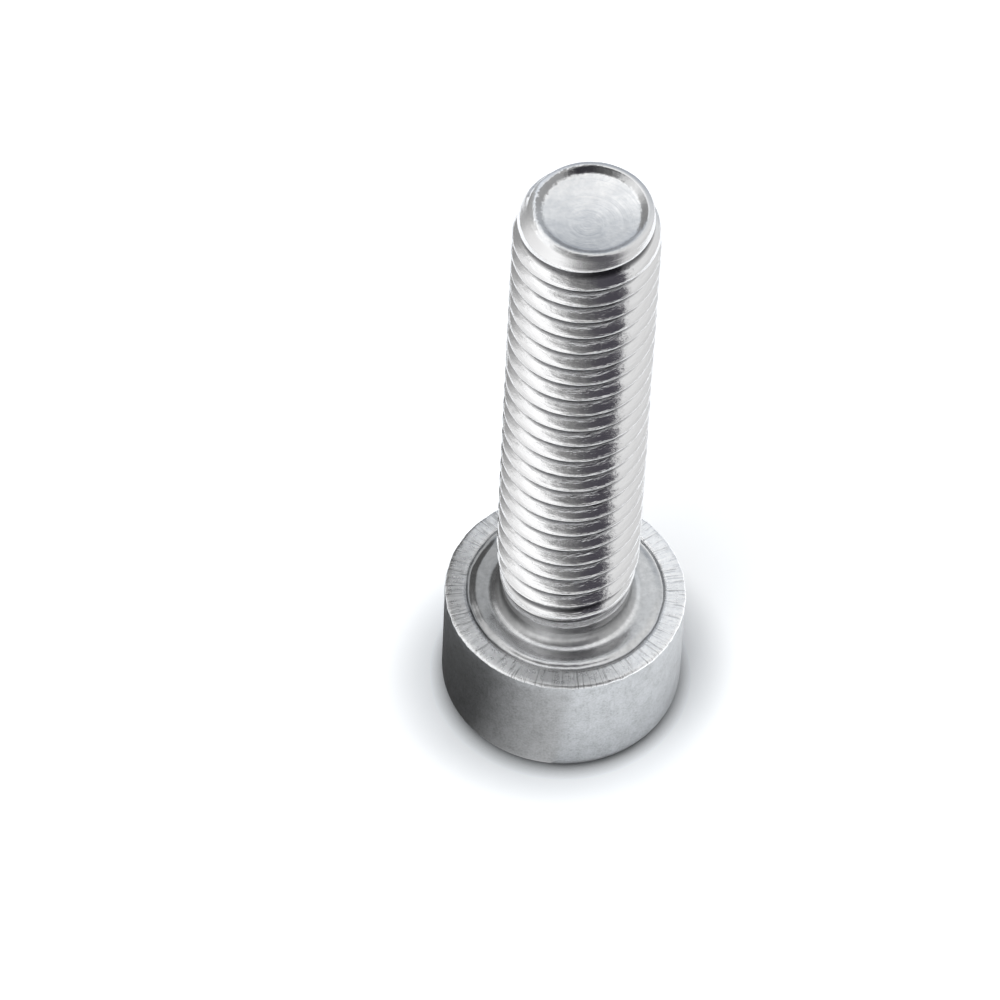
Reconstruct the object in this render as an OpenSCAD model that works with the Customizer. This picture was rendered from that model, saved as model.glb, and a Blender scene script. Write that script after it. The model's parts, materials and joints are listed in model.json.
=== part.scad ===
// Hex socket cap screw, fully threaded, standing on the socket face of its head.
// Millimetres. The axis is Z, and the head's socket face is at z = 0.

/* [Head] */
// Diameter of the head
head_d = 10; // [9.4:0.05:11]
// Height of the head, from its socket face to its bearing face
head_h = 5.9; // [5.4:0.05:6.6]
// Radius of the rounded edge round the socket face
head_edge_r = 0.7; // [0.2:0.05:1.2]
// Width of the small chamfer at the rim of the bearing face
rim_chamfer = 0.08; // [0.03:0.01:0.2]
// Outer diameter of the shallow ring pressed in round the shank
seat_ring_d = 8.3; // [7.8:0.05:8.8]
// Depth of that ring under the bearing face
seat_ring_depth = 0.05; // [0.02:0.01:0.12]

/* [Socket] */
// Width of the hexagon across its flats
socket_af = 5.05; // [4:0.05:5.5]
// Depth of the hexagon's corners under the socket face
socket_depth = 3; // [2:0.1:3.6]
// Full angle of the cone at the bottom of the socket
socket_cone_angle = 120; // [110:1:150]
// How far the mouth's countersink reaches past the hexagon's corners
mouth_margin = 0.06; // [0.03:0.01:0.2]
// Depth of the countersink at the middle of a flat
mouth_depth = 0.18; // [0.1:0.02:0.4]

/* [Shank] */
// Length from the bearing face to the tip
shank_l = 25; // [14:1:30]
// Diameter of the plain neck, which is that of the blank the thread was rolled on
neck_d = 5.36; // [5.3:0.02:5.5]
// Length of the plain neck, with its fillet
neck_l = 0.4; // [0.4:0.05:3]
// Radius of the fillet where the neck meets the head
fillet_r = 0.4; // [0.2:0.05:0.45]
// Diameter of the flat at the tip
tip_d = 4.75; // [4.2:0.05:5]
// Angle of the tip's chamfer from the axis
tip_angle = 42; // [35:1:65]
// Length under the tip over which the crests narrow
tip_taper_l = 1.2; // [0.8:0.1:3]
// How much the crests narrow there, on the diameter
tip_taper = 0.7; // [0.1:0.05:0.8]
// Depth of the dish in the tip
dish_depth = 0.14; // [0.02:0.01:0.2]
// Width of the lip round the dish
dish_lip = 0.4; // [0.1:0.05:0.5]

/* [Thread] */
// Diameter across the thread's crests
thread_d = 5.92; // [5.8:0.02:6.1]
// Distance from one turn to the next
pitch = 1; // [0.75:0.05:1.1]
// Turns over which the thread rises from the neck to its full form
runout_turns = 2.2; // [1.5:0.1:3]
// Angle round the axis at which the helix starts
thread_start = 217; // [0:1:359]
// Straight steps in one turn
steps = 40; // [24:2:48]

/* [Hidden] */
$fn = 96;

// Reach of a cut past the face it opens through
through = 1;

head_r = head_d / 2;
neck_r = neck_d / 2;
socket_corner_r = socket_af / sqrt(3);
mouth_r = socket_corner_r + mouth_margin;
fillet_foot_r = neck_r + fillet_r;

// Metric thread profile: 60 degree flanks, a crest flat of an eighth of the pitch, and a core set by
// the basic depth of the rolled thread
crest_r = thread_d / 2;
crest_flat = pitch / 8;
depth_per_pitch = 0.6134;
thread_depth = depth_per_pitch * pitch;
flank_h = thread_depth * tan(30);
root_flat = pitch - crest_flat - 2 * flank_h;
core_r = crest_r - thread_depth;

// The four edges of one turn, from the bottom up: crest, crest, root, root
edge_z = [0, crest_flat, crest_flat + flank_h, crest_flat + flank_h + root_flat];
edge_r = [crest_r, crest_r, core_r, core_r];
edges = len(edge_z);

// The threaded rod stands on the neck, a hair narrower than it. The helix starts a little higher, and
// lies flat on the rod for the first part of a turn before it rises.
rod_foot_r = neck_r - 0.02;
lead_turns = 0.2;
foot_h = 0.1;
rod_z0 = head_h + neck_l;
first_edge_z = rod_z0 + foot_h;
rod_z1 = head_h + shank_l;
// Height under the tip within which the last turn is squeezed flat
squeeze_h = 0.2;
tip_r = tip_d / 2;
last_step = floor((rod_z1 - squeeze_h - first_edge_z) / pitch * steps);

// Widest that the rod is at height z: the tip's chamfer, and the crests' taper under it
function tip_limit(z) =
    min(
        tip_r + (rod_z1 - z) * tan(tip_angle),
        crest_r - tip_taper / 2 * max(0, 1 - (rod_z1 - z) / tip_taper_l)
    );
// Share of the thread's full form after step s, from none at the neck
function formed(s) = min(1, max(0, s / steps - lead_turns) / runout_turns);
// Angle round the axis after step s
function turned(s) = thread_start + 360 * s / steps;
// A height near the tip, squeezed so that it stays under the tip's flat
function squeezed(z) =
    z < rod_z1 - squeeze_h ? z : rod_z1 - squeeze_h ^ 2 / (z - rod_z1 + 2 * squeeze_h);
// One vertex: edge k of the helix after step s
function helix_point(s, k) =
    let (
        z = squeezed(first_edge_z + pitch * s / steps + edge_z[k]),
        full_r = rod_foot_r + (edge_r[k] - rod_foot_r) * formed(s),
        r = min(full_r, tip_limit(z)),
        a = turned(s)
    )
    [r * cos(a), r * sin(a), z];
// A flat ring of vertices, turned to start at step s
function ring(r, z, s) =
    [for (j = [0:steps - 1]) let (a = turned(s + j)) [r * cos(a), r * sin(a), z]];

module threaded_rod() {
    // Edges 0 to 3 run up the helix to the last step, and edge 0 runs one turn further
    helix = [for (s = [0:last_step]) for (k = [0:edges - 1]) helix_point(s, k)];
    last_turn = [for (s = [last_step + 1:last_step + steps]) helix_point(s, 0)];
    helix_n = len(helix);
    foot_0 = helix_n + steps;
    tip_0 = foot_0 + steps;
    lip_0 = tip_0 + steps;
    foot_centre = lip_0 + steps;
    tip_centre = foot_centre + 1;
    points = concat(
        helix,
        last_turn,
        ring(rod_foot_r, rod_z0, 0),
        ring(tip_r, rod_z1, last_step),
        ring(tip_r - dish_lip, rod_z1 - dish_depth, last_step),
        [[0, 0, rod_z0], [0, 0, rod_z1 - dish_depth]]
    );
    // Index of edge k at step s, which is edge 0 of the next turn when k is past the last edge
    function at(s, k) =
        k == edges ? at(s + steps, 0)
        : s > last_step ? helix_n + s - last_step - 1
        : s * edges + k;
    function foot(j) = foot_0 + j % steps;
    function tip(j) = tip_0 + j % steps;
    function lip(j) = lip_0 + j % steps;
    quads = [
        for (s = [0:last_step - 1]) for (k = [0:edges - 1])
            [at(s, k), at(s, k + 1), at(s + 1, k + 1), at(s + 1, k)]
    ];
    // The bands between the helix and the flat rings below and above it
    foot_band = [for (j = [0:steps - 2]) [foot(j), at(j, 0), at(j + 1, 0), foot(j + 1)]];
    tip_band = [
        for (j = [1:steps - 1])
            [at(last_step + j, 0), tip(j), tip(j + 1), at(last_step + j + 1, 0)]
    ];
    // Where a band meets the start or the end of the helix, one fan takes in the whole step
    foot_seam = concat([foot(steps - 1), at(steps - 1, 0)], [for (k = [edges:-1:0]) at(0, k)], [foot(0)]);
    tip_seam = concat(
        [at(last_step + 1, 0)], [for (k = [0:edges]) at(last_step, k)], [tip(0), tip(1)]
    );
    // Fans start at the corner that lies off the seam
    function fan(loop, first) = [
        for (i = [1:len(loop) - 2])
            [loop[first], loop[(first + i) % len(loop)], loop[(first + i + 1) % len(loop)]]
    ];
    halves = [for (q = concat(quads, foot_band, tip_band)) for (t = fan(q, 0)) t];
    caps = [
        for (j = [0:steps - 1]) each [
            [foot_centre, foot(j), foot(j + 1)],
            [tip(j), lip(j), lip(j + 1)],
            [tip(j), lip(j + 1), tip(j + 1)],
            [lip(j), tip_centre, lip(j + 1)]
        ]
    ];
    polyhedron(points, concat(halves, fan(foot_seam, 1), fan(tip_seam, 0), caps), convexity = 10);
}

// Half section of the head with its rounded edge, the chamfered rim and the neck with its fillet
module turned_section() {
    side_z = head_h - rim_chamfer;
    square([head_r - head_edge_r, side_z]);
    translate([0, head_edge_r]) square([head_r, side_z - head_edge_r]);
    translate([head_r - head_edge_r, head_edge_r]) circle(r = head_edge_r);
    difference() {
        polygon([
            [0, side_z - head_edge_r],
            [head_r, side_z - head_edge_r],
            [head_r, side_z],
            [head_r - rim_chamfer, head_h],
            [0, head_h]
        ]);
        translate([neck_r, head_h - seat_ring_depth]) square([seat_ring_d / 2 - neck_r, through]);
    }
    neck_section();
}

module neck_section() {
    fillet_z = head_h - seat_ring_depth;
    difference() {
        translate([0, fillet_z - fillet_r]) square([fillet_foot_r, 2 * fillet_r]);
        translate([fillet_foot_r, fillet_z + fillet_r]) circle(r = fillet_r);
    }
    polygon([
        [0, fillet_z],
        [neck_r, fillet_z],
        [neck_r, rod_z0],
        [0, rod_z0]
    ]);
}

// The hexagon with the cone at its bottom, and the countersink at its mouth
module socket() {
    cone_slope = tan(90 - socket_cone_angle / 2);
    cone_h = socket_corner_r * cone_slope;
    intersection() {
        translate([0, 0, -through])
            cylinder(r = socket_corner_r, h = through + socket_depth + cone_h, $fn = 6);
        union() {
            translate([0, 0, -through]) cylinder(r = head_r, h = through + socket_depth);
            translate([0, 0, socket_depth]) cylinder(r1 = socket_corner_r, r2 = 0, h = cone_h);
        }
    }
    mouth_slope = (mouth_r - socket_af / 2) / mouth_depth;
    translate([0, 0, -through])
        cylinder(r1 = mouth_r + mouth_slope * through, r2 = socket_af / 2, h = through + mouth_depth);
}

module cap_screw() {
    color([0.72, 0.73, 0.74]) {
        difference() {
            rotate_extrude() turned_section();
            socket();
        }
        threaded_rod();
    }
}

cap_screw();
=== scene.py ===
"""A stainless steel hex socket cap screw that stands on its head, dressed for a studio picture."""

import json
import math

import bpy
from mathutils import Matrix, Vector, noise


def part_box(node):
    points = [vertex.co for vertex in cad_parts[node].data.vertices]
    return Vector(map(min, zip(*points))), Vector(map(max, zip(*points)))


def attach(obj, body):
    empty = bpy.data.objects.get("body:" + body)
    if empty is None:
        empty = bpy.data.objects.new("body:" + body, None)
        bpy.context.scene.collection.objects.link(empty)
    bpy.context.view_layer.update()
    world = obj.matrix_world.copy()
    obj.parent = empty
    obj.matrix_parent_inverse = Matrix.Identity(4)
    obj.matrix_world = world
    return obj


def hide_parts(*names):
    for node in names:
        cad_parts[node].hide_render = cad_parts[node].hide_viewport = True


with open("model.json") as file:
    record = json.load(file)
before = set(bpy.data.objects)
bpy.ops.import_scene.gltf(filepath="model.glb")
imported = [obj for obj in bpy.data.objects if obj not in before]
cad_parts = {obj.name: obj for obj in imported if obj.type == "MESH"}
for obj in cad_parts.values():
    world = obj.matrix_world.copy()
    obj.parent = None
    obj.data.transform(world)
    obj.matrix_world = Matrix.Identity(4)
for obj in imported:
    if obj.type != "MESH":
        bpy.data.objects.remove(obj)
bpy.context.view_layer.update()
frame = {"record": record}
bpy.ops.object.select_all(action="DESELECT")


# Head
# One end of a length of stainless wire, upset and punched cold into a cylinder with a rounded edge.
# The half section runs from the middle of the socket round the head and up the fillet to the neck.
MM = 0.001
low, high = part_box("cap_screw")
mounts = {mount["name"]: mount for mount in frame["record"]["mounts"]}
HEAD_R = high.x / MM
HEAD_H = mounts["bearing_face"]["pos_m"][2] / MM
TIP_Z = high.z / MM
HEAD_COLUMNS = 180
EDGE_R = 0.7
RIM_R = 0.13
RING_R = 4.15
SEAT_R = 3.15
NECK_R = 2.68
FILLET_R = 0.4
FLARE = math.radians(15)
SOCKET_AF = 5.05
SOCKET_DEPTH = 3.0
SOCKET_CORNER_R = SOCKET_AF / math.sqrt(3)
CONE_SLOPE = math.tan(math.radians(30))
MOUTH_R = SOCKET_CORNER_R + 0.06
MOUTH_DEPTH = 0.18


def arc(centre_r, centre_z, radius, first, last, parts):
    """Points of the section on an arc. The angles are in degrees, from outwards towards the tip."""
    points = []
    for i in range(parts + 1):
        turn = math.radians(first + (last - first) * i / parts)
        points.append((centre_r + radius * math.cos(turn), centre_z + radius * math.sin(turn)))
    return points


def between(first, last, parts):
    """The points that cut a straight stretch of the section into equal parts, without its ends."""
    steps = [i / parts for i in range(1, parts)]
    return [(first[0] + (last[0] - first[0]) * t, first[1] + (last[1] - first[1]) * t) for t in steps]


def draw_section(name, points):
    """A chain of edges in the XZ plane, drawn by extruding one point after another."""
    bpy.ops.mesh.primitive_plane_add(size=MM)
    section = bpy.context.object
    section.name = name
    bpy.ops.object.mode_set(mode="EDIT")
    bpy.ops.mesh.select_all(action="SELECT")
    bpy.ops.mesh.merge(type="CENTER")
    bpy.ops.transform.translate(value=(points[0][0] * MM, 0, points[0][1] * MM))
    for (r0, z0), (r1, z1) in zip(points, points[1:]):
        step = {"value": ((r1 - r0) * MM, 0, (z1 - z0) * MM)}
        bpy.ops.mesh.extrude_vertices_move(TRANSFORM_OT_translate=step)
    return section


def spin_section(columns):
    """Turns the section that is being edited once round the axis."""
    bpy.ops.mesh.select_all(action="SELECT")
    bpy.ops.mesh.spin(steps=columns, angle=math.tau, center=(0, 0, 0), axis=(0, 0, 1))
    bpy.ops.mesh.select_all(action="SELECT")
    bpy.ops.mesh.remove_doubles(threshold=0.001 * MM)
    bpy.ops.object.mode_set(mode="OBJECT")


def cone_z(r):
    """Height of the socket's conical bottom."""
    return SOCKET_DEPTH + (SOCKET_CORNER_R - r) * CONE_SLOPE


socket_wall_r = SOCKET_AF / 2
wall_foot = (socket_wall_r, cone_z(socket_wall_r))
wall_top = (socket_wall_r, MOUTH_DEPTH)
socket_half = [(0, cone_z(0))] + between((0, cone_z(0)), wall_foot, 6) + [wall_foot]
socket_half += between(wall_foot, wall_top, 5) + [wall_top]
face_half = [(MOUTH_R, 0)] + between((MOUTH_R, 0), (HEAD_R - EDGE_R, 0), 4)
edge_half = arc(HEAD_R - EDGE_R, EDGE_R, EDGE_R, -90, 0, 8)
side_half = between((HEAD_R, EDGE_R), (HEAD_R, HEAD_H - RIM_R), 8)
rim_half = arc(HEAD_R - RIM_R, HEAD_H - RIM_R, RIM_R, 0, 90, 4)
ring_half = between((HEAD_R - RIM_R, HEAD_H), (RING_R, HEAD_H), 5)

# Inside the flat ring the die left a groove, then a low seat that flares up into the fillet
groove = [(0, 0), (0.03, -0.02), (0.07, -0.07), (0.12, -0.085), (0.18, -0.082)]
groove += [(0.27, -0.046), (0.35, -0.016), (0.42, -0.008)]
groove_half = [(RING_R - inwards, HEAD_H + up) for inwards, up in groove]
seat_foot = (SEAT_R, HEAD_H - 0.03)
seat_half = between(groove_half[-1], seat_foot, 4) + [seat_foot]
fillet_foot_r = NECK_R + FILLET_R * (1 - math.sin(FLARE))
fillet_foot = (fillet_foot_r, seat_foot[1] + (SEAT_R - fillet_foot_r) * math.tan(FLARE))
fillet_z = fillet_foot[1] + FILLET_R * math.cos(FLARE)
flare_half = between(seat_foot, fillet_foot, 2)
fillet_half = arc(NECK_R + FILLET_R, fillet_z, FILLET_R, -90 - math.degrees(FLARE), -180, 8)
neck_top = (NECK_R, HEAD_H + 0.5)
section = socket_half + face_half + edge_half + side_half + rim_half + ring_half
section += groove_half + seat_half + flare_half + fillet_half + [neck_top]

screw = draw_section("screw", section)
spin_section(HEAD_COLUMNS)


def hexagon_r(angle):
    """Distance from the axis to the hexagon's wall, whose corners are a little round."""
    sharpness = 60
    total = 0
    for side in range(6):
        total += max(0, math.cos(angle - math.radians(60 * side + 30))) ** sharpness
    return socket_wall_r / total ** (1 / sharpness)


def uneven(angle, waves, seed):
    """Smooth noise round the axis that meets itself after a full turn."""
    return noise.noise(Vector((waves * math.cos(angle), waves * math.sin(angle), seed)))


# The punch turns the round socket of the section into the hexagon
mouth_slope = (MOUTH_R - socket_wall_r) / MOUTH_DEPTH
for vertex in screw.data.vertices:
    x, y, z = vertex.co / MM
    r = math.hypot(x, y)
    if r > socket_wall_r + 0.001 or z > cone_z(0) + 0.01:
        continue
    angle = math.atan2(y, x)
    wall_r = hexagon_r(angle)
    foot_z = cone_z(wall_r)
    top_z = (MOUTH_R - wall_r) / mouth_slope
    share = r / socket_wall_r
    if share > 0.999:
        rise = (wall_foot[1] - z) / (wall_foot[1] - wall_top[1])
        z = foot_z + (top_z - foot_z) * rise
    else:
        z = cone_z(wall_r * share)
    vertex.co = Vector((wall_r * share * math.cos(angle), wall_r * share * math.sin(angle), z)) * MM

# Cold steel doesn't fill the die evenly: the groove wavers and the rim is a little ragged
for vertex in screw.data.vertices:
    x, y, z = vertex.co / MM
    r = math.hypot(x, y)
    if z < HEAD_H - 0.2 or r < SEAT_R:
        continue
    angle = math.atan2(y, x)
    in_groove = max(0, 1 - abs(r - 3.95) / 0.6) ** 0.5
    on_rim = max(0, 1 - (HEAD_R - r) / 0.15)
    out = in_groove * (0.04 * uneven(angle, 4, 1.5) + 0.025 * uneven(angle, 12, 2.5))
    out += on_rim * 0.03 * uneven(angle, 20, 3.5)
    up = in_groove * 0.015 * uneven(angle, 7, 4.5) + on_rim * 0.03 * uneven(angle, 18, 5.5)
    vertex.co = Vector((x * (1 + out / r), y * (1 + out / r), z + min(up, 0.012))) * MM


# Thread
# Rolled on the shank, so its crests are closed by two small lips with a seam between them, and where
# it runs out into the neck the crests are still open. One turn of the profile is swept up the helix.
PITCH = 1.0
THREAD_R = 2.96
CREST_HALF = 0.042
SHOULDER = 0.19
SHOULDER_SLOPE = math.tan(math.radians(41))
ROOT_ARC_R = 0.144
FLANK_SLOPE = math.tan(math.radians(60))
THREAD_COLUMNS = 120
TURNS = 27
CREST_Z = HEAD_H - 0.0403
RISE_Z = HEAD_H + 0.54
RUNOUT = 2.5
OPEN_HALF = 0.28
LIP_R = 2.23
LIP_SHIFT = (0.14, 0.1)
TIP_ROUND_R = 0.35
TIP_ANGLE = math.radians(36)
TAPER_L = 1.2
TAPER = 0.42
ROOT_FILL_R = LIP_R + 0.3
ROOT_FILL_SLOPE = 0.4
THREAD_END_L = 0.11
SHARES = [0.5, 0.44, 0.375, 0.31, 0.25, SHOULDER, 0.15, 0.115, 0.08, CREST_HALF, 0.03, 0.013, 0.0]

root_arc_share = ROOT_ARC_R * math.sin(math.radians(60))
shoulder_l = SHOULDER - CREST_HALF
shoulder_r = THREAD_R - 0.006 - shoulder_l * (SHOULDER_SLOPE + FLANK_SLOPE) / 2
core_r = shoulder_r - FLANK_SLOPE * (0.5 - root_arc_share - SHOULDER) - ROOT_ARC_R / 2
chamfer_l = TIP_ROUND_R * (1 - math.sin(TIP_ANGLE))
chamfer_r = LIP_R + TIP_ROUND_R * math.cos(TIP_ANGLE)


def finished_r(share):
    """Radius of the finished thread, a share of the pitch away from the middle of a crest."""
    if share > 0.5 - root_arc_share:
        return core_r + ROOT_ARC_R - math.sqrt(ROOT_ARC_R**2 - (0.5 - share) ** 2)
    if share > SHOULDER:
        return shoulder_r - FLANK_SLOPE * (share - SHOULDER)
    if share > CREST_HALF:
        down = share - CREST_HALF
        steeper = (FLANK_SLOPE - SHOULDER_SLOPE) * down / shoulder_l / 2
        return THREAD_R - 0.006 - down * (SHOULDER_SLOPE + steeper)
    edge = 0.012 * max(0, share / CREST_HALF - 0.6) / 0.4
    seam = 0.025 * max(0, 1 - share / 0.02)
    return THREAD_R - edge - seam


def tip_limit(z, angle):
    """Widest that the thread is at a height: the tip's rounding, its chamfer, the narrowing under it."""
    left = max(0, TIP_Z - z)
    lean = LIP_SHIFT[0] * math.cos(angle) + LIP_SHIFT[1] * math.sin(angle)
    lean *= max(0, 1 - left / 0.5)
    if left < chamfer_l:
        return LIP_R + lean + math.sqrt(TIP_ROUND_R**2 - (TIP_ROUND_R - left) ** 2)
    chamfer = chamfer_r + lean + (left - chamfer_l) * math.tan(TIP_ANGLE)
    return min(chamfer, THREAD_R - TAPER * max(0, 1 - left / TAPER_L))


lowest_crest_z = CREST_Z - PITCH
profile = [(finished_r(share), lowest_crest_z - share * PITCH) for share in SHARES]
profile += [(finished_r(share), lowest_crest_z + share * PITCH) for share in reversed(SHARES[:-1])]
thread = draw_section("thread", profile)
bpy.ops.object.mode_set(mode="OBJECT")
bpy.ops.object.modifier_add(type="SCREW")
sweep = thread.modifiers[-1]
sweep.axis = "Z"
sweep.angle = math.tau
sweep.steps = THREAD_COLUMNS
sweep.render_steps = THREAD_COLUMNS
sweep.screw_offset = PITCH * MM
sweep.iterations = TURNS
bpy.ops.object.modifier_apply(modifier=sweep.name)
bpy.ops.object.mode_set(mode="EDIT")
bpy.ops.mesh.select_all(action="SELECT")
bpy.ops.mesh.remove_doubles(threshold=0.002 * MM)
bpy.ops.object.mode_set(mode="OBJECT")

for vertex in thread.data.vertices:
    x, y, z = vertex.co / MM
    angle = math.atan2(y, x)
    offset = ((z - CREST_Z) / PITCH - angle / math.tau + 0.5) % 1 - 0.5
    share = abs(offset)
    formed = min(1, max(0, (z - RISE_Z) / (RUNOUT * PITCH)))
    # Where the thread is not fully formed, its two lips stand apart with a hollow between them
    half = CREST_HALF + (OPEN_HALF - CREST_HALF) * (1 - formed) ** 3
    if share < CREST_HALF:
        moved = share * half / CREST_HALF
    else:
        moved = 0.5 - (0.5 - share) * (0.5 - half) / (0.5 - CREST_HALF)
    hollow = 0.8 * min(1, 2 * (1 - formed)) * max(0, 1 - (share / CREST_HALF) ** 2)
    z += math.copysign(moved - share, offset) * PITCH
    r = NECK_R + (finished_r(share) - NECK_R) * formed * (1 - hollow)
    r += 0.008 * formed * noise.noise(Vector((x, y, z)) * 1.6)
    # At the very tip the root is filled
    widest = tip_limit(z, angle)
    r = max(min(r, widest), min(widest, ROOT_FILL_R - ROOT_FILL_SLOPE * (TIP_Z - z)))
    vertex.co = Vector((r * math.cos(angle), r * math.sin(angle), z)) * MM

bpy.ops.object.mode_set(mode="EDIT")
bpy.ops.mesh.select_all(action="SELECT")
foot_cut = {"plane_co": (0, 0, RISE_Z * MM), "plane_no": (0, 0, 1), "threshold": 0.0001 * MM}
bpy.ops.mesh.bisect(**foot_cut, clear_inner=True)
bpy.ops.mesh.select_all(action="SELECT")
tip_cut = foot_cut | {"plane_co": (0, 0, (TIP_Z - THREAD_END_L) * MM)}
bpy.ops.mesh.bisect(**tip_cut, clear_outer=True)
bpy.ops.object.mode_set(mode="OBJECT")


# Tip
# The end of the wire as the header left it: a satin dish inside a rounded lip, not quite central.
DISH = [(0, -0.32), (0.4, -0.312), (0.8, -0.289), (1.2, -0.252), (1.5, -0.218), (1.85, -0.178)]
LIP = [(1.93, -0.162), (1.99, -0.134), (2.06, -0.086), (2.13, -0.038), (2.18, -0.01), (LIP_R, 0)]

lip_half = arc(LIP_R, -TIP_ROUND_R, TIP_ROUND_R, 90, 53, 5)[1:]
tip = draw_section("tip", [(r, TIP_Z + up) for r, up in DISH + LIP + lip_half])
spin_section(THREAD_COLUMNS)
for vertex in tip.data.vertices:
    x, y, z = vertex.co / MM
    inside = max(0, 1 - math.hypot(x, y) / 2.2)
    z += 0.02 * min(1, 3 * inside) * noise.noise(Vector((x, y, 7)) * 0.9)
    vertex.co = Vector((x + LIP_SHIFT[0], y + LIP_SHIFT[1], z)) * MM


def join_and_bridge(pieces, above_z):
    """Joins pieces into the last one, and closes the gap between its open rings over a height."""
    bpy.ops.object.select_all(action="DESELECT")
    for piece in pieces:
        piece.select_set(True)
    whole = pieces[-1]
    bpy.context.view_layer.objects.active = whole
    bpy.ops.object.join()
    bpy.ops.object.mode_set(mode="EDIT")
    bpy.ops.mesh.select_mode(type="EDGE")
    bpy.ops.mesh.select_all(action="DESELECT")
    bpy.ops.mesh.select_non_manifold()
    bpy.ops.object.mode_set(mode="OBJECT")
    points = whole.data.vertices
    for point in points:
        point.select = point.select and point.co.z / MM > above_z
    for edge in whole.data.edges:
        edge.select = edge.select and all(points[i].select for i in edge.vertices)
    bpy.ops.object.mode_set(mode="EDIT")
    bpy.ops.mesh.bridge_edge_loops()
    bpy.ops.object.mode_set(mode="OBJECT")


join_and_bridge([tip, thread], TIP_Z - 1)
join_and_bridge([thread, screw], HEAD_H)
bpy.ops.object.mode_set(mode="EDIT")
bpy.ops.mesh.select_all(action="SELECT")
bpy.ops.mesh.normals_make_consistent(inside=False)
bpy.ops.object.mode_set(mode="OBJECT")
bpy.ops.object.shade_smooth_by_angle(angle=math.radians(50))


# Finishes
# One steel, which each step of the work left different: bright where it was rolled or pressed, matt
# and pitted where the die forged it, satin at the tip.


def node(tree, kind, settings=None, inputs=None):
    """A shader node. An input that is the output of another node is linked."""
    made = tree.nodes.new("ShaderNode" + kind)
    for name, value in (settings or {}).items():
        setattr(made, name, value)
    for name, value in (inputs or {}).items():
        if isinstance(value, bpy.types.NodeSocket):
            tree.links.new(value, made.inputs[name])
        else:
            made.inputs[name].default_value = value
    return made


def maths(tree, operation, first, second=0.0, third=0.0):
    """The result of one sum on numbers or sockets."""
    inputs = {0: first, 1: second, 2: third}
    return node(tree, "Math", {"operation": operation}, inputs).outputs[0]


def ramp(tree, value, stops):
    """A colour ramp through grey levels or colours."""
    made = node(tree, "ValToRGB", None, {"Fac": value})
    points = made.color_ramp.elements
    while len(points) < len(stops):
        points.new(0.5)
    for point, (position, shade) in zip(points, stops):
        point.position = position
        point.color = (shade, shade, shade, 1) if isinstance(shade, float) else (*shade, 1)
    return made.outputs["Color"]


def steel(name, anisotropy=0.0):
    """A new steel finish: its material, its node tree and its shader."""
    material = bpy.data.materials.new(name)
    material.use_nodes = True
    tree = material.node_tree
    shader = tree.nodes["Principled BSDF"]
    shader.inputs["Metallic"].default_value = 1
    shader.inputs["Anisotropic"].default_value = anisotropy
    return material, tree, shader


def place(tree):
    """The x, y and z of a point in millimetres, its distance from the axis, and all as a vector."""
    coords = node(tree, "TexCoord").outputs["Object"]
    scaled = node(tree, "VectorMath", {"operation": "SCALE"}, {0: coords, "Scale": 1 / MM})
    split = node(tree, "SeparateXYZ", None, {0: scaled.outputs[0]})
    x, y, z = split.outputs
    flat = maths(tree, "ADD", maths(tree, "MULTIPLY", x, x), maths(tree, "MULTIPLY", y, y))
    return x, y, z, maths(tree, "SQRT", flat), scaled.outputs[0]


def grain(tree, vector, scale, detail=2.0, roughness=0.5):
    """Plain noise from 0 to 1."""
    inputs = {"Vector": vector, "Scale": scale, "Detail": detail, "Roughness": roughness}
    return node(tree, "TexNoise", None, inputs).outputs["Fac"]


def toned(tree, colour, tone):
    """A colour times a grey level."""
    return node(tree, "VectorMath", {"operation": "MULTIPLY"}, {0: colour, 1: tone}).outputs[0]


def length(tree, vector):
    """The length of a vector."""
    return node(tree, "VectorMath", {"operation": "LENGTH"}, {0: vector}).outputs["Value"]


def bump(tree, height, depth_mm, under=None):
    """A bump of a real depth, laid over another one."""
    inputs = {"Height": height, "Distance": depth_mm * MM, "Strength": 1.0}
    if under:
        inputs["Normal"] = under
    return node(tree, "Bump", None, inputs).outputs[0]


# Rolled thread: polished by the dies, with fine dashes along the helix, and painted shade in the roots
rolled, tree, shader = steel("rolled_thread", anisotropy=0.6)
x, y, z, r, spot = place(tree)
turn = maths(tree, "DIVIDE", maths(tree, "ARCTAN2", y, x), math.tau)
height = maths(tree, "DIVIDE", maths(tree, "SUBTRACT", z, CREST_Z), PITCH)
phase = maths(tree, "MULTIPLY", maths(tree, "SUBTRACT", height, turn), math.tau)
crest = maths(tree, "COSINE", phase)


def dashes(along, across):
    """Noise drawn out along the helix, with so many features to the millimetre each way."""
    radius = across / math.tau
    parts = {
        0: maths(tree, "MULTIPLY", x, along),
        1: maths(tree, "MULTIPLY", y, along),
        2: maths(tree, "MULTIPLY_ADD", z, along, maths(tree, "MULTIPLY", crest, radius)),
    }
    vector = node(tree, "CombineXYZ", None, parts).outputs[0]
    other = maths(tree, "MULTIPLY", maths(tree, "SINE", phase), radius)
    inputs = {"Vector": vector, "W": other, "Scale": 1.0, "Detail": 3.0, "Roughness": 0.6}
    return node(tree, "TexNoise", {"noise_dimensions": "4D"}, inputs).outputs["Fac"]
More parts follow.
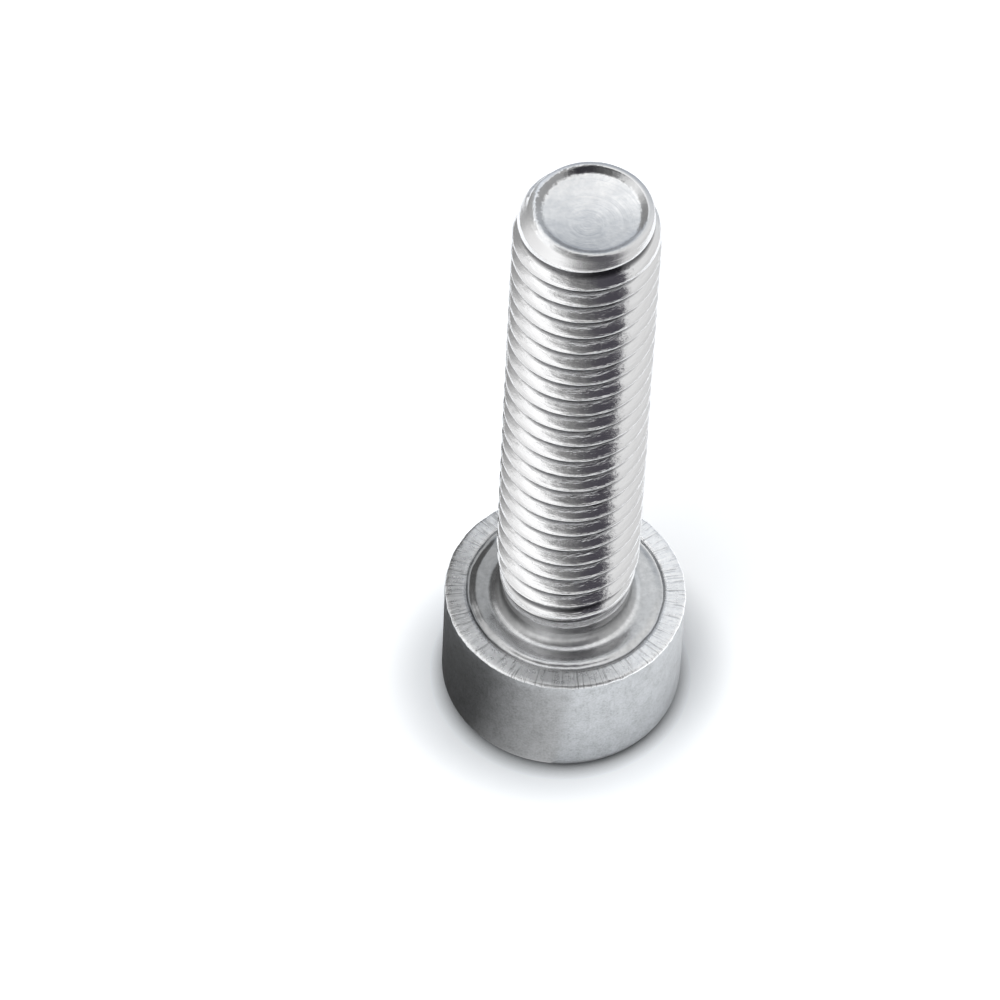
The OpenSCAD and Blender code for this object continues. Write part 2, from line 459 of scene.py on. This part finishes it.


# Above the last turn there is no root, and the marks are fainter. Low in the run-out the steel is
# rougher, and its colour is painted darker there, painted shade.
past_thread = ramp(tree, maths(tree, "SUBTRACT", z, TIP_Z - 1), [(0.53, 0.0), (0.61, 1.0)])
height_share = maths(tree, "ADD", maths(tree, "MULTIPLY_ADD", crest, 0.5, 0.5), past_thread)
# Painted shade: the colour is dark in the roots and bright on the crests and flanks
stops = [(0.25, (0.12, 0.12, 0.125)), (0.36, (0.28, 0.28, 0.285)), (0.52, (0.74, 0.74, 0.745))]
colour = ramp(tree, height_share, stops)
run_out = ramp(tree, maths(tree, "MULTIPLY_ADD", z, 0.4, -0.4 * HEAD_H), [(0.35, 0.9), (0.8, 0.0)])
run_out_shade = (0.4, 0.4, 0.405, 1)
shade = node(tree, "Mix", {"data_type": "RGBA"}, {0: run_out, 6: colour, 7: run_out_shade})
tree.links.new(shade.outputs[2], shader.inputs["Base Color"])
fine_dashes = dashes(1.3, 13)
smooth = maths(tree, "MULTIPLY_ADD", run_out, 0.2, maths(tree, "MULTIPLY_ADD", past_thread, 0.12, 0.05))
rough = maths(tree, "MULTIPLY_ADD", fine_dashes, 0.12, smooth)
tree.links.new(rough, shader.inputs["Roughness"])
waves = bump(tree, grain(tree, spot, 1.3, 2.0), 0.012)
calm = maths(tree, "MULTIPLY_ADD", past_thread, -0.75, 1.0)
lines = bump(tree, maths(tree, "MULTIPLY", fine_dashes, calm), 0.028, waves)
tree.links.new(bump(tree, grain(tree, spot, 20.0, 2.0), 0.003, lines), shader.inputs["Normal"])

# Forged head: matt and finely mottled, with small pits
forged, tree, shader = steel("forged_head")
spot = place(tree)[-1]
clouds = grain(tree, spot, 1.8, 5.0, 0.7)
specks = grain(tree, spot, 11.0, 3.0, 0.6)
mix = maths(tree, "MULTIPLY_ADD", specks, 0.55, maths(tree, "MULTIPLY", clouds, 0.45))
stops = [(0.32, (0.3, 0.305, 0.31)), (0.5, (0.44, 0.45, 0.46)), (0.68, (0.54, 0.55, 0.57))]
tree.links.new(ramp(tree, mix, stops), shader.inputs["Base Color"])
tree.links.new(maths(tree, "MULTIPLY_ADD", specks, 0.2, 0.26), shader.inputs["Roughness"])
pits = node(tree, "TexVoronoi", None, {"Vector": spot, "Scale": 4.0})
pit = ramp(tree, pits.outputs["Distance"], [(0.0, 0.0), (0.16, 1.0)])
coarse = bump(tree, clouds, 0.012)
tree.links.new(bump(tree, pit, 0.008, bump(tree, specks, 0.006, coarse)), shader.inputs["Normal"])

# Bearing face: bright, with the die's radial marks on its outer ring
pressed, tree, shader = steel("bearing_face")
x, y, z, r, spot = place(tree)
to_right = maths(tree, "DIVIDE", x, r)
r_cm = maths(tree, "MULTIPLY", r, 0.1)
parts = {0: to_right, 1: maths(tree, "DIVIDE", y, r), 2: maths(tree, "MULTIPLY", r, 0.012)}
way = node(tree, "CombineXYZ", None, parts).outputs[0]
marks = grain(tree, way, 50.0, 3.0, 0.65)
outer = ramp(tree, r_cm, [(0.405, 0.0), (0.425, 1.0)])
mottle = grain(tree, spot, 4.0, 4.0, 0.6)
colour = ramp(tree, mottle, [(0.3, (0.76, 0.765, 0.77)), (0.7, (0.97, 0.975, 0.98))])
# Painted light and shade: the ring and the seat are painted lighter or darker from side to side, the
# ring darkest across the middle and brightest at the right, the seat darkest at the left
across = maths(tree, "MULTIPLY_ADD", to_right, 0.5, 0.5)
stops = [(0.02, 0.72), (0.08, 0.93), (0.25, 0.9), (0.47, 0.57), (0.62, 0.7), (0.75, 0.92), (0.86, 1.08)]
ring = ramp(tree, across, stops)
seat_light_and_shade = ramp(tree, across, [(0.1, 0.4), (0.35, 0.9), (0.6, 0.95), (0.85, 0.68)])
tone = node(tree, "Mix", {"data_type": "RGBA"}, {0: outer, 6: seat_light_and_shade, 7: ring}).outputs[2]
# A painted highlight: a bright band round the foot of the fillet, with painted shade towards the neck
stops = [(0.27, 0.7), (0.292, 0.8), (0.298, 1.2), (0.308, 1.2), (0.315, 1.0)]
tone = maths(tree, "MULTIPLY", tone, ramp(tree, r_cm, stops))
strokes = maths(tree, "MULTIPLY", ramp(tree, marks, [(0.36, 0.35), (0.46, 0.0)]), outer)
tone = maths(tree, "SUBTRACT", tone, strokes)
tree.links.new(toned(tree, colour, tone), shader.inputs["Base Color"])
dull = ramp(tree, r_cm, [(0.285, 0.35), (0.3, 0.16)])
rough = maths(tree, "MULTIPLY_ADD", outer, 0.08, maths(tree, "MULTIPLY_ADD", mottle, 0.08, dull))
tree.links.new(rough, shader.inputs["Roughness"])
radial = bump(tree, maths(tree, "MULTIPLY", marks, outer), 0.035)
tree.links.new(bump(tree, mottle, 0.004, radial), shader.inputs["Normal"])

# Tip: satin, with faint rings round a point that is off the axis
satin, tree, shader = steel("tip_face")
x, y, z, r, spot = place(tree)
off = node(tree, "VectorMath", {"operation": "ADD"}, {0: spot, 1: (0.0, 0.4, -TIP_Z)}).outputs[0]
far = node(tree, "CombineXYZ", None, {0: length(tree, off)}).outputs[0]
rings = grain(tree, far, 4.0, 3.0, 0.7)
mottle = grain(tree, spot, 2.2, 3.0, 0.6)
colour = ramp(tree, mottle, [(0.3, (0.76, 0.77, 0.785)), (0.7, (0.92, 0.92, 0.92))])
# Painted shade: the wall of the dish is painted darker along a ragged band, most of all at the far left,
# and the rest of the face is painted lighter towards the far left
parts = {0: maths(tree, "SUBTRACT", x, LIP_SHIFT[0]), 1: maths(tree, "SUBTRACT", y, LIP_SHIFT[1])}
flat = node(tree, "CombineXYZ", None, parts).outputs[0]
ragged = maths(tree, "MULTIPLY_ADD", grain(tree, spot, 6.0, 4.0, 0.7), 0.4, length(tree, flat))
stops = [(0.525, 0.0), (0.55, 0.6), (0.6, 0.6), (0.612, 0.0)]
painted_wall_shade = ramp(tree, maths(tree, "MULTIPLY", ragged, 0.25), stops)
side = node(tree, "VectorMath", {"operation": "DOT_PRODUCT"}, {0: flat, 1: (-0.14, 0.25, 0)})
aside = maths(tree, "ADD", side.outputs["Value"], 0.5)
painted_wall_shade = maths(tree, "MULTIPLY", painted_wall_shade, ramp(tree, aside, [(0.5, 0.25), (0.9, 1.0)]))
painted_tip_tone = maths(tree, "SUBTRACT", ramp(tree, aside, [(0.1, 0.8), (0.5, 0.93), (0.9, 1.0)]), painted_wall_shade)
tree.links.new(toned(tree, colour, painted_tip_tone), shader.inputs["Base Color"])
shader.inputs["Roughness"].default_value = 0.22
tree.links.new(bump(tree, mottle, 0.02, bump(tree, rings, 0.025)), shader.inputs["Normal"])

# Punched socket: smooth walls with marks along the punch's way
punched, tree, shader = steel("punched_socket")
spot = place(tree)[-1]
drawn = node(tree, "Mapping", None, {"Vector": spot, "Scale": (1, 1, 0.08)}).outputs[0]
scores = grain(tree, drawn, 9.0, 3.0, 0.6)
colour = ramp(tree, scores, [(0.3, (0.36, 0.36, 0.36)), (0.7, (0.5, 0.5, 0.5))])
tree.links.new(colour, shader.inputs["Base Color"])
shader.inputs["Roughness"].default_value = 0.28
tree.links.new(bump(tree, scores, 0.004), shader.inputs["Normal"])

finishes = [rolled, forged, pressed, satin, punched]
for finish in finishes:
    screw.data.materials.append(finish)
for face in screw.data.polygons:
    middle = face.center / MM
    r = math.hypot(middle.x, middle.y)
    finish = rolled
    if middle.z > TIP_Z - 0.35 and r < LIP_R + 0.1:
        finish = satin
    elif middle.z < cone_z(0) and r < MOUTH_R:
        finish = punched
    elif middle.z < HEAD_H - 0.9 * RIM_R and r > SEAT_R:
        finish = pressed if r < HEAD_R - RIM_R and middle.z > HEAD_H - 0.3 else forged
    elif middle.z < RISE_Z:
        finish = pressed
    face.material_index = finishes.index(finish)
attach(screw, "root")
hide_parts("cap_screw")


# Table and light
# A white table under an even white sky, with dark flags that give the steel something to reflect.
bpy.ops.object.select_all(action="DESELECT")
bpy.ops.mesh.primitive_plane_add(size=1.2)
table = bpy.context.object
table.name = "table"
paper = bpy.data.materials.new("white_table")
paper.use_nodes = True
tree = paper.node_tree
shader = tree.nodes["Principled BSDF"]
shader.inputs["Roughness"].default_value = 0.9
shader.inputs["Specular IOR Level"].default_value = 0
# Its own white glow is what the lamps leave over. It is lower near the screw, painted shade that deepens
# the screw's shadow
WHITE = 0.62
rays = node(tree, "LightPath")
far = length(tree, node(tree, "TexCoord").outputs["Object"])
fill = ramp(tree, maths(tree, "MULTIPLY", far, 10.0), [(0.25, 0.46), (0.6, WHITE)])
in_view = maths(tree, "MULTIPLY", rays.outputs["Is Camera Ray"], fill)
mirrored = maths(tree, "MULTIPLY", rays.outputs["Is Glossy Ray"], WHITE)
seen = maths(tree, "ADD", in_view, mirrored)
# Painted shadow: ambient occlusion darkens the table's colour where it meets the screw, and its glow for
# a few millimetres round the screw
near = {"Color": (0.86, 0.89, 0.92, 1), "Distance": 0.7 * MM}
painted_contact_shadow = node(tree, "AmbientOcclusion", {"samples": 8}, near)
tree.links.new(painted_contact_shadow.outputs["Color"], shader.inputs["Base Color"])
shadow_occlusion = node(tree, "AmbientOcclusion", {"samples": 8}, {"Distance": 2.8 * MM})
open_floor = maths(tree, "POWER", shadow_occlusion.outputs["AO"], 3.5)
glow = node(tree, "Emission", None, {"Color": (1, 1, 1, 1)})
tree.links.new(maths(tree, "MULTIPLY", seen, open_floor), glow.inputs["Strength"])
both = node(tree, "AddShader", None, {0: shader.outputs[0], 1: glow.outputs[0]})
tree.links.new(both.outputs[0], tree.nodes["Material Output"].inputs["Surface"])
table.data.materials.append(paper)

# The sky is white to the camera. The steel sees it brighter at the left and dimmer at the back.
SKY_GAIN = 1.6
world = bpy.data.worlds.new("studio")
bpy.context.scene.world = world
world.use_nodes = True
tree = world.node_tree
sky = tree.nodes["Background"]
rays = node(tree, "LightPath")
clear = maths(tree, "MAXIMUM", rays.outputs["Is Camera Ray"], rays.outputs["Is Transmission Ray"])
seen = maths(tree, "MAXIMUM", clear, rays.outputs["Is Glossy Ray"])
level = node(tree, "MapRange", None, {"Value": seen, "To Min": 0.29, "To Max": 1.0})
tree.links.new(level.outputs[0], sky.inputs["Strength"])
way = node(tree, "SeparateXYZ", None, {0: node(tree, "TexCoord").outputs["Generated"]})
across = maths(tree, "MULTIPLY_ADD", way.outputs[0], 0.5, 0.5)
stops = [(0.0, 0.6), (0.14, 0.82), (0.24, 0.97), (0.42, 0.7), (0.6, 0.6), (0.8, 0.63), (1.0, 0.5)]
side = ramp(tree, across, stops)
stops = [(0.36, 1.0), (0.6, (0.9, 0.92, 0.94)), (0.8, (0.65, 0.68, 0.72)), (0.95, (0.48, 0.51, 0.56))]
back = ramp(tree, way.outputs[1], stops)
studio = node(tree, "VectorMath", {"operation": "MULTIPLY"}, {0: side, 1: back})
gained = node(tree, "VectorMath", {"operation": "SCALE"}, {0: studio.outputs[0], "Scale": SKY_GAIN})
mixed = node(tree, "Mix", {"data_type": "RGBA"}, {0: clear, 6: gained.outputs[0], 7: (1, 1, 1, 1)})
tree.links.new(mixed.outputs[2], sky.inputs["Color"])


def direction(azimuth, elevation):
    """Unit vector from the screw; azimuth runs from the camera's side towards the right."""
    a, e = math.radians(azimuth), math.radians(elevation)
    return Vector((math.sin(a) * math.cos(e), -math.cos(a) * math.cos(e), math.sin(e)))


def soft_box(name, azimuth, elevation, distance, width, height, power):
    """A rectangular lamp that faces the screw. Reflections show the sky in its place."""
    way = direction(azimuth, elevation)
    turn = way.to_track_quat("Z", "Y").to_euler()
    bpy.ops.object.light_add(type="AREA", location=way * distance, rotation=turn)
    lamp = bpy.context.object
    lamp.name = name
    lamp.data.shape = "RECTANGLE"
    lamp.data.size = width
    lamp.data.size_y = height
    lamp.data.energy = power
    lamp.visible_camera = False
    lamp.visible_glossy = False
    return lamp


soft_box("left_softbox", -38, 52, 0.5, 0.35, 0.35, 1.3)
soft_box("right_softbox", 112, 38, 0.5, 0.5, 0.5, 0.9)


def card_finish(card, slope, stops, start=0.5, gain=1.0):
    """Makes a piece a card that only reflections show, shaded along a slope through the directions."""
    finish = bpy.data.materials.new(card.name)
    finish.use_nodes = True
    tree = finish.node_tree
    tree.nodes.remove(tree.nodes["Principled BSDF"])
    coords = node(tree, "TexCoord").outputs["Object"]
    way = node(tree, "VectorMath", {"operation": "NORMALIZE"}, {0: coords}).outputs[0]
    along = node(tree, "VectorMath", {"operation": "DOT_PRODUCT"}, {0: way, 1: slope})
    shade = ramp(tree, maths(tree, "ADD", along.outputs["Value"], start), stops)
    glow = node(tree, "Emission", None, {"Color": shade, "Strength": gain})
    tree.links.new(glow.outputs[0], tree.nodes["Material Output"].inputs["Surface"])
    card.data.materials.append(finish)
    card.visible_camera = False
    card.visible_diffuse = False
    card.visible_shadow = False
    card.visible_transmission = False


def flag(name, corners, distance):
    """A four-cornered card between four directions, lower left first, then lower right."""
    bpy.ops.mesh.primitive_plane_add(size=1)
    card = bpy.context.object
    card.name = name
    for vertex, (azimuth, elevation) in zip(card.data.vertices, corners):
        vertex.co = direction(azimuth, elevation) * distance
    return card


front_flag = flag("front_flag", [(-42, 19), (50, 19), (-105, 67), (84, 72)], 0.25)
stops = [(0.28, 0.85), (0.33, 0.62), (0.37, 0.38), (0.41, 0.25), (0.46, 0.17), (0.53, 0.12)]
stops += [(0.59, (0.067, 0.065, 0.072)), (0.68, (0.05, 0.047, 0.057))]
card_finish(front_flag, (0.5, 0, 0.3), stops, start=0.29, gain=SKY_GAIN)

left_flag = flag("left_flag", [(-150, 4), (-104, 4), (-150, 50), (-104, 50)], 0.3)
card_finish(left_flag, (0, 0.5, 0), [(0.6, 0.6), (0.66, 0.42), (0.75, 0.25)], gain=SKY_GAIN)

# A low dark wall on the camera's side of the table
bpy.ops.mesh.primitive_cylinder_add(vertices=64, radius=0.09, depth=0.018, end_fill_type="NOTHING")
wall = bpy.context.object
wall.name = "low_wall"
bpy.ops.transform.translate(value=(0, 0, 0.006))
bpy.ops.object.transform_apply(location=True, rotation=False, scale=False)
bpy.ops.object.mode_set(mode="EDIT")
bpy.ops.mesh.select_all(action="SELECT")
bpy.ops.mesh.bisect(plane_co=(0, 0.002, 0), plane_no=(0, 1, 0), clear_outer=True)
bpy.ops.object.mode_set(mode="OBJECT")
stops = [(0.0, 0.9), (0.15, 0.85), (0.25, 0.55), (0.4, 0.38), (0.5, 0.32), (0.8, 0.28), (0.92, 0.3)]
stops += [(0.95, 0.7), (1.0, 0.85)]
card_finish(wall, (0.5, 0, 0), stops)

back_card = flag("back_card", [(152, 0.5), (-152, 0.5), (152, 16), (-152, 16)], 0.12)
card_finish(back_card, (0, 0, 1), [(0.5, (0.42, 0.45, 0.5)), (0.8, (0.5, 0.53, 0.58))])


def near_card(name, corners):
    """A four-cornered card close to the screw, in millimetres."""
    bpy.ops.mesh.primitive_plane_add(size=1)
    card = bpy.context.object
    card.name = name
    for vertex, corner in zip(card.data.vertices, corners):
        vertex.co = Vector(corner) * MM
    return card


# Two dark cards close to the screw, which only reflections show. One lies on the table at the left of
# the head, painted shade that the head's side reflects; the left of the bearing face reflects the other
floor_shade_card = near_card("floor_shade_card", [(-13, -11, 0.03), (1.5, -11, 0.03), (-13, 5, 0.03), (-3, 5, 0.03)])
stops = [(0.0, 0.06), (0.1, 0.08), (0.2, 0.33), (0.3, 0.56), (0.4, 0.72), (0.5, 0.82), (0.6, 0.87)]
card_finish(floor_shade_card, (0.5, 0, 0), stops)
side_card = near_card("side_card", [(-11, 6.5, 1), (-4.6, 6.5, 1), (-11, 6.5, 19), (-4.6, 6.5, 19)])
card_finish(side_card, (0, 0, 1), [(0.5, 0.08), (1.0, 0.2)])


# Camera
# A long lens above the table, where the photo was taken from. The lens, tilt, roll and distance come
# from a fit to the edges of the head, the limbs of the thread and the spacing of its turns.
camera_tilt = math.radians(53.107)
camera_roll = math.radians(2.845)
focal_px = 8108
image_px = 1000
seat_right, seat_below, seat_ahead = 2.714, 3.713, 336.136

forward = Vector((0, math.cos(camera_tilt), -math.sin(camera_tilt)))
level_up = Vector((0, math.sin(camera_tilt), math.cos(camera_tilt)))
right = math.cos(camera_roll) * Vector((1, 0, 0)) + math.sin(camera_roll) * level_up
up = math.cos(camera_roll) * level_up - math.sin(camera_roll) * Vector((1, 0, 0))
eye = Vector((0, 0, HEAD_H)) - seat_right * right + seat_below * up - seat_ahead * forward
bpy.ops.object.camera_add(location=eye * MM)
camera = bpy.context.object
camera.rotation_euler = Matrix((right, up, -forward)).transposed().to_euler()
camera.data.sensor_width = 36
camera.data.lens = camera.data.sensor_width * focal_px / image_px
camera.data.clip_start = 0.01
camera.data.clip_end = 10
bpy.context.scene.camera = camera
bpy.context.scene.view_settings.view_transform = "Standard"
